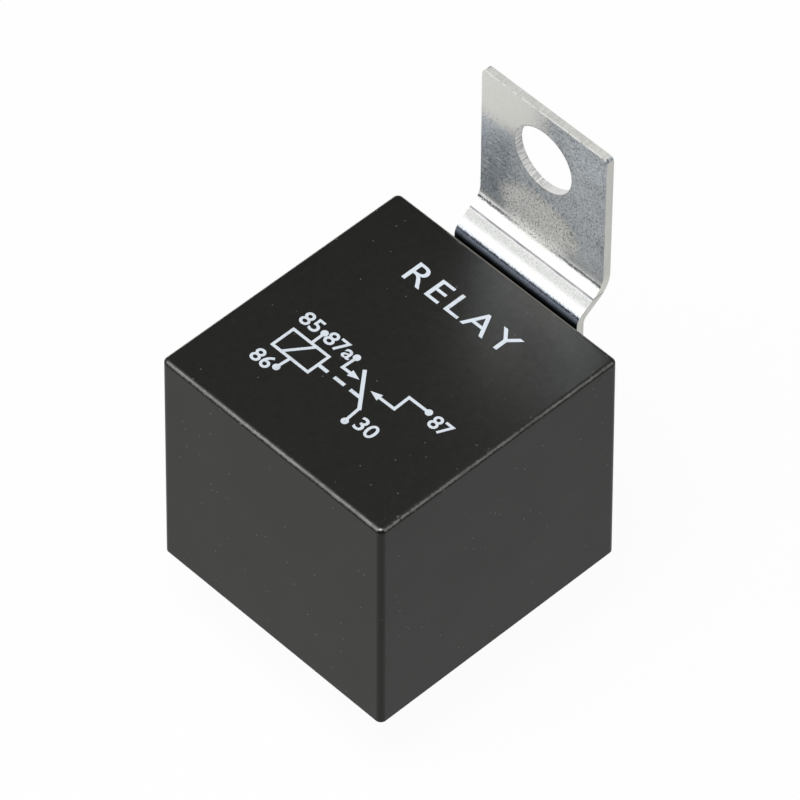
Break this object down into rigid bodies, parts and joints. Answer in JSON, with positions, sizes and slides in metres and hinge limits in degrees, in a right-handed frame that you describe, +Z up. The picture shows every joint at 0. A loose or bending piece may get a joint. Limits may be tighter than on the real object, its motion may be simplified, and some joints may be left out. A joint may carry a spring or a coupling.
{
  "type": "automotive relay",
  "caption": "Cube-shaped automotive relay: black moulded cover with a printed circuit figure, zinc-plated steel bracket with a screw hole, blades below.",
  "frame": {"origin": "centre of the cover's rim, in the plane of the rim", "axes": "+Z up through the printed top, +Y towards the steel bracket, +X to the right when the print is read from the front"},
  "size_m": [0.0274, 0.0324, 0.0519],
  "materials": {
    "black_plastic": "black moulded polyamide, fine matt grain",
    "base_plastic": "black moulded plastic",
    "bobbin_plastic": "natural moulded plastic",
    "zinc_steel": "zinc-plated sheet steel",
    "magnet_steel": "plated soft iron",
    "terminal_copper": "plain copper alloy sheet",
    "copper_wire": "enamelled copper wire and bare copper braid",
    "leaf_bronze": "rolled bronze strip",
    "contact_silver": "silver alloy",
    "spring_steel": "drawn spring wire"
  },
  "bodies": {
    "relay": {"base_plate": "base_plastic", "bobbin": "bobbin_plastic", "closed_contact": "contact_silver", "contact_braid": "copper_wire", "core": "magnet_steel", "cover": "black_plastic", "mounting_bracket": "zinc_steel", "open_contact": "contact_silver", "return_spring": "spring_steel", "terminal_30": "terminal_copper", "terminal_85": "terminal_copper", "terminal_86": "terminal_copper", "terminal_87": "terminal_copper", "terminal_87a": "terminal_copper", "winding": "copper_wire", "yoke": "magnet_steel"},
    "clapper": {"armature": "magnet_steel", "contact_leaf": "leaf_bronze", "leaf_rivets": "leaf_bronze", "moving_contact": "contact_silver"}
  },
  "joints": [
    {"name": "armature_pivot", "type": "hinge", "parent": "relay", "child": "clapper", "pos_m": [0, 0.01006, 0.01817], "axis": [1, 0, 0], "range_deg": [0, 3.5], "stiffness_Nm_per_rad": 0.01, "springref_deg": -8.59, "deforming": ["return_spring", "contact_braid"]}
  ]
}
